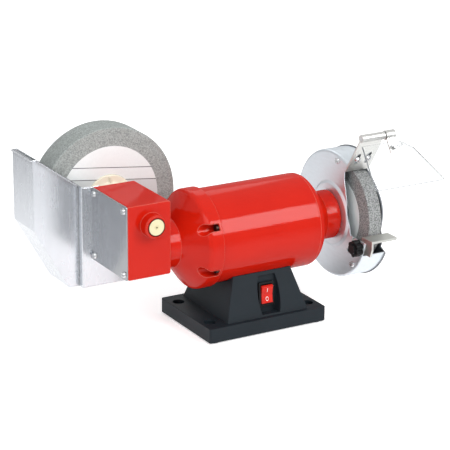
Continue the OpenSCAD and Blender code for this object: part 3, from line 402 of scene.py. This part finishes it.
def paper_sweep(look):
    """White paper under the grinder, which metal mirrors as bright close by and as grey further off."""
    side, fleck, glow = 8.0, 1 / 3, 0.5
    bright_middle, bright_r, grey_r = (-0.15, 0.12, 0.0), 0.25, 1.25
    floor = primitive("floor", "plane", size=side)
    pick(floor, lambda c, n: True)
    bpy.ops.mesh.subdivide(number_cuts=3)
    bpy.ops.object.mode_set(mode="OBJECT")
    material, tree, shader, place = surface("white paper sweep", roughness=0.9, emission_color=(1, 1, 1, 1))
    tone = blend(tree, noise(tree, place, fleck, 1.0), rgba(look.sweep, 0.99), rgba(look.sweep, 1.01))
    path = add(tree, "LightPath").outputs
    away = add(tree, "VectorMath", {"operation": "DISTANCE"}, {0: place, 1: bright_middle}).outputs["Value"]
    near = spread(tree, away, 1.0, 0.0, bright_r, grey_r, "SMOOTHSTEP")
    far = maths(tree, "MAXIMUM", maths(tree, "SUBTRACT", path["Is Glossy Ray"], near))
    shine = maths(tree, "MULTIPLY", path["Is Glossy Ray"], near)
    seen = maths(tree, "MAXIMUM", path["Is Camera Ray"], path["Is Transmission Ray"])
    seen = maths(tree, "MULTIPLY", maths(tree, "MAXIMUM", seen, shine), glow)
    feed(tree, shader, base_color=blend(tree, far, tone, rgba(look.sweep_far)), emission_strength=seen)
    floor.data.materials.append(material)


def studio_room(scene):
    """A white room: full white where it is seen or shines through, softer where it lights or is mirrored."""
    white, mirrored = (1, 1, 1, 1), 0.5
    low_level, high_level = 0.2, 0.7
    world = scene.world or bpy.data.worlds.new("studio")
    scene.world = world
    world.use_nodes = True
    tree = world.node_tree
    tree.nodes.clear()
    way = add(tree, "SeparateXYZ", (), {"Vector": add(tree, "TexCoord").outputs["Generated"]})
    level = spread(tree, way.outputs["Z"], low_level, high_level, 0.0, 0.9, "SMOOTHSTEP")
    room = add(tree, "Background", (), {"Color": white, "Strength": level})
    backdrop = add(tree, "Background", (), {"Color": white, "Strength": 1.0})
    path = add(tree, "LightPath").outputs
    seen = maths(tree, "MAXIMUM", path["Is Camera Ray"], path["Is Transmission Ray"])
    seen = maths(tree, "MAXIMUM", seen, maths(tree, "MULTIPLY", path["Is Glossy Ray"], mirrored))
    both = add(tree, "MixShader", (), {0: seen, 1: room.outputs[0], 2: backdrop.outputs[0]})
    add(tree, "OutputWorld", (), {"Surface": both.outputs[0]})


def softbox(scene, name, place, wide, tall, power):
    """A rectangular lamp that faces the grinder; power is in watts."""
    target = Vector((0.0, 0.0, 0.13))
    lamp = bpy.data.lights.new(name, "AREA")
    lamp.shape, lamp.size, lamp.size_y, lamp.energy = "RECTANGLE", wide, tall, power
    holder = bpy.data.objects.new(name, lamp)
    scene.collection.objects.link(holder)
    holder.location = place
    holder.rotation_euler = (target - Vector(place)).to_track_quat("-Z", "Y").to_euler()


def long_lens_camera(scene):
    """A camera far in front, a little to the left and above."""
    target, distance = Vector((-0.0279, 0.0027, 0.138)), 2.7417
    turn, rise, roll = math.radians(30.05), math.radians(18.7), math.radians(0.43)
    camera = bpy.data.objects.new("camera", bpy.data.cameras.new("camera"))
    scene.collection.objects.link(camera)
    camera.data.lens = scene.grinder_sizes.lens
    camera.data.clip_end = 50.0
    ahead = Vector((math.sin(turn) * math.cos(rise), math.cos(turn) * math.cos(rise), -math.sin(rise)))
    camera.location = target - ahead * distance
    camera.rotation_mode = "QUATERNION"
    camera.rotation_quaternion = (ahead.to_track_quat("-Z", "Y").to_matrix() @
                                  Matrix.Rotation(roll, 3, "Z")).to_quaternion()
    scene.camera = camera


class GRINDER_OT_stage(bpy.types.Operator):
    """Pale floor, soft studio light and the camera"""
    bl_idname = "grinder.stage"
    bl_label = "Stage"

    def execute(self, context):
        scene = context.scene
        scene.view_settings.view_transform = "Standard"
        paper_sweep(scene.grinder_colours)
        studio_room(scene)
        softbox(scene, "key softbox", (-0.9, -1.5, 2.1), 2.2, 1.0, 19.0)
        softbox(scene, "front softbox", (1.15, -1.95, 1.42), 1.0, 1.3, 32.0)
        softbox(scene, "left fill", (-2.0, -1.1, 1.0), 1.4, 1.2, 9.0)
        softbox(scene, "back softbox", (0.7, 2.1, 1.9), 1.6, 1.0, 6.0)
        long_lens_camera(scene)
        return {"FINISHED"}


class GRINDER_OT_motor(bpy.types.Operator):
    """Enamelled motor housing, end bells and gear case"""
    bl_idname = "grinder.motor"
    bl_label = "Motor"

    def execute(self, context):
        sizes = context.scene.grinder_sizes
        tube_wave, casting_wave = 0.00012, 0.00016
        dress(red_enamel("red enamel, sprayed on tube", sizes.peel, tube_wave, sizes.edge), "motor_tube")
        dress(red_enamel("red enamel, sprayed on casting", 1.6 * sizes.peel, casting_wave, 2 * sizes.edge),
              "left_bell", "right_bell", "gear_case")
        return {"FINISHED"}


class GRINDER_OT_base(bpy.types.Operator):
    """Moulded base with its feet, bottom plate and cord inlet, the switch frame and the knob"""
    bl_idname = "grinder.base"
    bl_label = "Base"

    def execute(self, context):
        look, sizes = context.scene.grinder_colours, context.scene.grinder_sizes
        slate = moulded_plastic("ABS, moulded slate grey", look.slate, 0.5, sizes.mould, 0.00008, 0.0014)
        dress(slate, "base")
        dress(moulded_plastic("rubber, moulded black", look.rubber, 0.75, 0.0007, 0.00008, 0.0006), "feet")
        dress(moulded_plastic("nylon, moulded black", look.black, 0.42, 0.0008, 0.00004, 0.0007),
              "cord_inlet", "switch_frame", "rest_knob")
        dress(galvanised_sheet("galvanised sheet, thin", look.zinc, 0.006, 0.0004), "bottom_plate")
        return {"FINISHED"}


class GRINDER_OT_switch(bpy.types.Operator):
    """Rocker with its two switch marks"""
    bl_idname = "grinder.switch"
    bl_label = "Switch"

    def execute(self, context):
        look, sizes = context.scene.grinder_colours, context.scene.grinder_sizes
        polished = moulded_plastic("polycarbonate, polished red", look.rocker, 0.2, 0.004, 0.00001, 0.0005)
        dress(polished, "rocker")
        joint = next(j for j in frame["joints"] if j["name"] == "rocker_tilt")
        lean, rock = math.radians(5), math.radians(6)
        tilt = Matrix.Translation(joint["pos_m"]) @ Matrix.Rotation(math.pi / 2 - lean + rock, 4, "X")
        # the rocker's face rises from its middle to each end
        face_rise, half_face = 0.0019, 0.012
        face = math.atan2(face_rise, half_face)
        white = moulded_plastic("pad print, white", look.mark, 0.45, 0.001, 0.00001, 0.0001)

        bar = primitive("switch_mark_on", "cube", size=1.0, scale=(sizes.bar_w, sizes.bar_h, sizes.bar_t))
        modify(bar, "BEVEL", width=sizes.bar_t / 3, segments=2)
        above = Matrix.Translation((0, sizes.mark_at, sizes.mark_up)) @ Matrix.Rotation(face, 4, "X")
        bar.data.transform(tilt @ above)
        settle(bar, "switch_rocker", white)

        ring = primitive("switch_mark_off", "torus", major_radius=sizes.ring_r, minor_radius=sizes.ring_line,
                         major_segments=40, minor_segments=10)
        pick(ring, lambda c, n: True)
        bpy.ops.transform.resize(value=(0.8, 1.1, 0.3))
        bpy.ops.object.mode_set(mode="OBJECT")
        below = Matrix.Translation((0, -sizes.mark_at, sizes.mark_up)) @ Matrix.Rotation(-face, 4, "X")
        ring.data.transform(tilt @ below)
        settle(ring, "switch_rocker", white)
        return {"FINISHED"}


class GRINDER_OT_gear_case(bpy.types.Operator):
    """Side plate and cap of the gear case, with a painted shadow ring in the gap round the cap, the cap's
    gate mark, and the bronze inside
    """
    bl_idname = "grinder.gear_case"
    bl_label = "Gear case"

    def execute(self, context):
        look, sizes = context.scene.grinder_colours, context.scene.grinder_sizes
        upright, along_y = (1.0, 1.0, 0.04), (1.0, 0.05, 1.0)
        forward = (math.pi / 2, 0, 0)
        brushed = rolled_metal("aluminium plate, brushed", look.plate, 0.16, upright, 0.0016, 0.0008)
        dress(brushed, "gear_cover")
        dress(moulded_plastic("nylon, moulded beige", look.beige, 0.42, 0.0012, 0.00004, 0.0008), "bush_cap")
        dress(rolled_metal("bronze, turned", look.bronze, 0.32, along_y, 0.0008, 0.0003),
              "worm_wheel", "wet_bushes")

        cap, cap_r, front = middle("bush_cap"), half_size("bush_cap").x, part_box("bush_cap")[0].y
        # Painted shadow: a dark ring laid in the gap round the bush cap, where the recess in the boss falls
        # in shade.
        shadow_ring = thin_ring("cap_shadow_ring", (cap.x, front + sizes.shadow_ring_t, cap.z), forward,
                         cap_r + sizes.shadow_ring_out, cap_r - sizes.shadow_ring_in, sizes.shadow_ring_t)
        modify(shadow_ring, "BEVEL", width=sizes.shadow_ring_t / 3, segments=1)
        gap = moulded_plastic("painted shadow in the gap, dark red", look.gap, 0.6, 0.0008, 0.00002, 0.0002)
        settle(shadow_ring, "frame", gap)

        proud, rim, sink = 0.0001, 0.0004, 0.00015
        gate = primitive("cap_gate_mark", "cylinder", vertices=24, radius=sizes.gate_r, depth=sizes.gate_t,
                         location=(cap.x, front - proud, cap.z), rotation=forward)
        pick(gate, lambda c, n: n.y < -0.9)
        bpy.ops.mesh.inset(thickness=rim)
        bpy.ops.transform.translate(value=(0, sink, 0))
        broken = moulded_plastic("nylon, broken gate", look.gate, 0.6, 0.0006, 0.00003, 0.0001)
        settle(gate, "frame", broken)
        return {"FINISHED"}


class GRINDER_OT_wet_wheel(bpy.types.Operator):
    """Wet stone, its paper disc and flanges"""
    bl_idname = "grinder.wet_wheel"
    bl_label = "Wet wheel"

    def execute(self, context):
        look, sizes = context.scene.grinder_colours, context.scene.grinder_sizes
        stone = grinding_stone("aluminium oxide stone, fine pale", look.wet_stone, sizes.grit, 0.72, 1.3)
        dress(stone, "wet_wheel")
        cream = moulded_plastic("nylon, moulded cream", look.cream, 0.42, 0.0012, 0.00004, 0.0008)
        dress(cream, "wet_flanges")
        hub, face, hole_r = middle("wet_wheel"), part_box("wet_wheel")[0].y, half_size("wet_flanges").x
        label = thin_ring("wet_label", (hub.x, face - sizes.label_t, hub.z), (math.pi / 2, 0, 0),
                          sizes.wet_label_r, hole_r + sizes.label_gap, sizes.label_t)
        rules, turn, ground = (0.044, 0.027), math.radians(-7), 0.8
        paper = printed_paper("paper, coated and ruled", look, hub, "Y_AXIS", turn, rules, ground)
        settle(label, "wet_spindle", paper)
        return {"FINISHED"}


class GRINDER_OT_trough(bpy.types.Operator):
    """Galvanised water trough"""
    bl_idname = "grinder.trough"
    bl_label = "Trough"

    def execute(self, context):
        look, sizes = context.scene.grinder_colours, context.scene.grinder_sizes
        dress(galvanised_sheet("galvanised sheet, folded", look.zinc, sizes.spangle, 0.0022), "trough")
        return {"FINISHED"}


class GRINDER_OT_dry_wheel(bpy.types.Operator):
    """Dry stone, its paper disc and flanges"""
    bl_idname = "grinder.dry_wheel"
    bl_label = "Dry wheel"

    def execute(self, context):
        look, sizes = context.scene.grinder_colours, context.scene.grinder_sizes
        along_x = (0.1, 1.0, 1.0)
        stone = grinding_stone("aluminium oxide stone, coarse grey", look.dry_stone, sizes.grit, 0.55, 1.5)
        dress(stone, "dry_wheel")
        dress(rolled_metal("steel, pressed flange", look.plate, 0.4, along_x, 0.0012, 0.0005), "dry_flanges")
        hub, face, hole_r = middle("dry_wheel"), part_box("dry_wheel")[0].x, half_size("dry_flanges").z
        label = thin_ring("dry_label", (face - sizes.label_t, hub.y, hub.z), (0, -math.pi / 2, 0),
                          sizes.dry_label_r, hole_r + sizes.label_gap, sizes.label_t)
        rules, turn, ground = (0.036,), math.radians(90), 0.97
        paper = printed_paper("paper, coated, one rule", look, hub, "X_AXIS", turn, rules, ground)
        settle(label, "spindle", paper)
        return {"FINISHED"}


class GRINDER_OT_guard(bpy.types.Operator):
    """Sheet guard and its outer cover"""
    bl_idname = "grinder.guard"
    bl_label = "Guard"

    def execute(self, context):
        look = context.scene.grinder_colours
        along_y = (1.0, 0.3, 1.0)
        satin = rolled_metal("steel sheet, satin zinc", look.sheet, 0.4, along_y, 0.004, 0.0009, 0.82)
        dress(satin, "guard")
        phosphate = rolled_metal("steel sheet, grey phosphate", look.cover, 0.5, along_y, 0.004, 0.0009)
        dress(phosphate, "guard_cover")
        return {"FINISHED"}


class GRINDER_OT_rest(bpy.types.Operator):
    """Tool rest, spark deflector and shield clamp"""
    bl_idname = "grinder.rest"
    bl_label = "Tool rest"

    def execute(self, context):
        look = context.scene.grinder_colours
        along_x = (0.08, 1.0, 1.0)
        plated = rolled_metal("steel plate, pressed and zinc plated", look.pressed, 0.36, along_x,
                              0.0018, 0.0006)
        dress(plated, "deflector", "shield_clamp")
        dull = rolled_metal("steel plate, sheared and dull zinc", look.rest, 0.46, along_x, 0.0018, 0.0008)
        dress(dull, "tool_rest")
        return {"FINISHED"}


class GRINDER_OT_shield(bpy.types.Operator):
    """Clear eye shield"""
    bl_idname = "grinder.shield"
    bl_label = "Eye shield"

    def execute(self, context):
        look = context.scene.grinder_colours
        widest = max(frame["nodes"]["eye_shield"].data.polygons, key=lambda face: face.area)
        dress(clear_sheet("polycarbonate, clear, sawn edges", look, widest.normal), "eye_shield")
        return {"FINISHED"}


class GRINDER_OT_fasteners(bpy.types.Operator):
    """Screws, nuts, rod, shafts, bearings and worm"""
    bl_idname = "grinder.fasteners"
    bl_label = "Fasteners"

    def execute(self, context):
        look = context.scene.grinder_colours
        even, along_x = (1.0, 1.0, 1.0), (0.05, 1.0, 1.0)
        dress(rolled_metal("steel, bright zinc", look.bright, 0.26, even, 0.0012, 0.0003),
              "gear_screws", "trough_screws", "guard_screws", "cover_screws", "deflector_screws",
              "wet_nut", "dry_nut", "shield_screw")
        dress(rolled_metal("steel, black oxide", look.dark_screw, 0.4, even, 0.0012, 0.0003), "bell_screws")
        dress(rolled_metal("steel, turned", look.bright, 0.3, along_x, 0.0007, 0.0003),
              "motor_shaft", "wet_shaft", "shield_rod", "bearings", "worm")
        return {"FINISHED"}


class GRINDER_OT_inside(bpy.types.Operator):
    """Electrical pieces inside the motor and base"""
    bl_idname = "grinder.inside"
    bl_label = "Inside"

    def execute(self, context):
        look = context.scene.grinder_colours
        stacked, wound, upright = (1.0, 0.05, 0.05), (1.0, 0.2, 1.0), (1.0, 1.0, 0.05)
        dress(rolled_metal("silicon steel, stacked sheets", look.lamination, 0.45, stacked, 0.0006, 0.0002),
              "stator", "rotor")
        dress(rolled_metal("copper wire, varnished", look.copper, 0.35, wound, 0.0009, 0.0004), "windings")
        dress(rolled_metal("aluminium can, drawn", look.can, 0.34, upright, 0.0009, 0.0006), "capacitor")
        return {"FINISHED"}


OPERATORS = (GRINDER_OT_stage, GRINDER_OT_motor, GRINDER_OT_base, GRINDER_OT_switch, GRINDER_OT_gear_case,
             GRINDER_OT_wet_wheel, GRINDER_OT_trough, GRINDER_OT_dry_wheel, GRINDER_OT_guard, GRINDER_OT_rest,
             GRINDER_OT_shield, GRINDER_OT_fasteners, GRINDER_OT_inside)


class GRINDER_PT_panel(bpy.types.Panel):
    """The grinder's pieces and the sizes and colours that they use"""
    bl_label = "Grinder"
    bl_idname = "GRINDER_PT_panel"
    bl_space_type = "VIEW_3D"
    bl_region_type = "UI"
    bl_category = "Grinder"

    def draw(self, context):
        for group in (context.scene.grinder_colours, context.scene.grinder_sizes):
            for name in group.bl_rna.properties.keys():
                if name not in {"rna_type", "name"}:
                    self.layout.prop(group, name)
        for operator in OPERATORS:
            self.layout.operator(operator.bl_idname)


CLASSES = (GrinderColours, GrinderSizes) + OPERATORS + (GRINDER_PT_panel,)


def register():
    for cls in CLASSES:
        bpy.utils.register_class(cls)
    bpy.types.Scene.grinder_colours = bpy.props.PointerProperty(type=GrinderColours)
    bpy.types.Scene.grinder_sizes = bpy.props.PointerProperty(type=GrinderSizes)


def unregister():
    del bpy.types.Scene.grinder_sizes
    del bpy.types.Scene.grinder_colours
    for cls in reversed(CLASSES):
        bpy.utils.unregister_class(cls)


def main():
    register()
    for operator in OPERATORS:
        group, name = operator.bl_idname.split(".")
        getattr(getattr(bpy.ops, group), name)()


if __name__ == "__main__":
    main()
